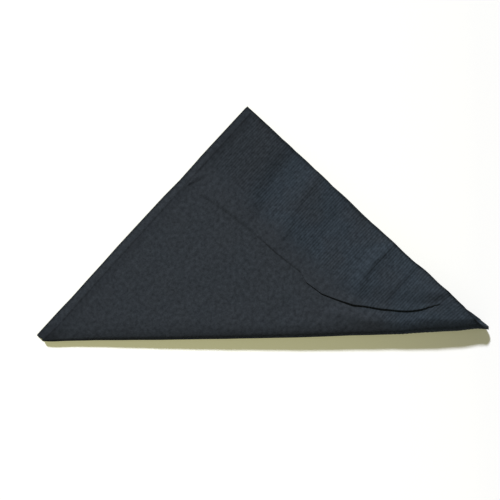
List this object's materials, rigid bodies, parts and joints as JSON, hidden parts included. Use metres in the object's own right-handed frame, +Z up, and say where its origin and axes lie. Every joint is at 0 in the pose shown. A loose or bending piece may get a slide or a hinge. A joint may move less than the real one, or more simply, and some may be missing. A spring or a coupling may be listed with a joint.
{
  "type": "paper napkin",
  "caption": "Soft paper napkin: a square tissue sheet folded into quarters and then corner to corner into a flat triangle, with an embossed ribbed border along its cut edges.",
  "frame": {"origin": "on the table, under the middle of the folded triangle's outline", "axes": "+X runs along the long folded edge from the closed corner to the open corner, +Y points from that edge to the apex, +Z is up off the table"},
  "size_m": [0.2388, 0.1242, 0.0107],
  "materials": {
    "paper": "matte dark slate tissue"
  },
  "bodies": {
    "root": {"napkin": "paper"}
  },
  "joints": []
}
